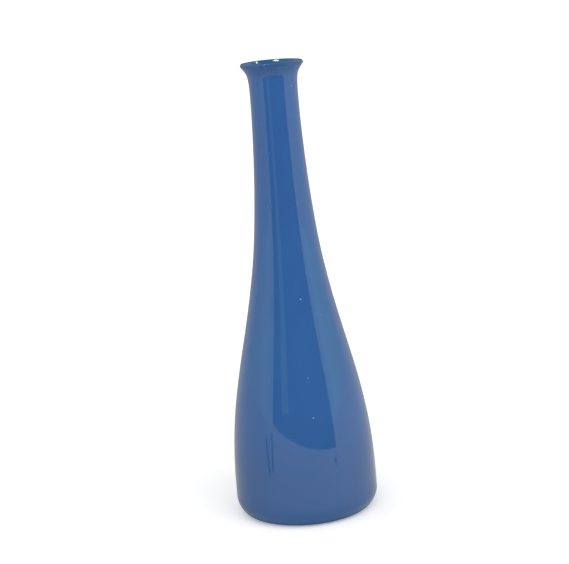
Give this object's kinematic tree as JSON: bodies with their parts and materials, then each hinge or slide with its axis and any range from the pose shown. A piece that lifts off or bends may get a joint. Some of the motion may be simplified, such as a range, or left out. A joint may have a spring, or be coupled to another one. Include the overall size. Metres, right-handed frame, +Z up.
{
  "type": "bud vase",
  "caption": "Slender glazed ceramic bottle vase with a full low belly, a long narrowing neck and a small flared lip, for a stem or a small spray of flowers.",
  "frame": {"origin": "centre of the foot, on the plane that the vase stands on", "axes": "+Z up along the axis of revolution, from the foot to the lip; X and Y are interchangeable"},
  "size_m": [0.0834, 0.0834, 0.265],
  "materials": {
    "bare_clay": "matte",
    "blue_glaze": "gloss",
    "lining_glaze": "gloss"
  },
  "bodies": {
    "root": {"clay_body": "bare_clay", "outer_glaze": "blue_glaze", "inner_glaze": "lining_glaze"}
  },
  "joints": []
}
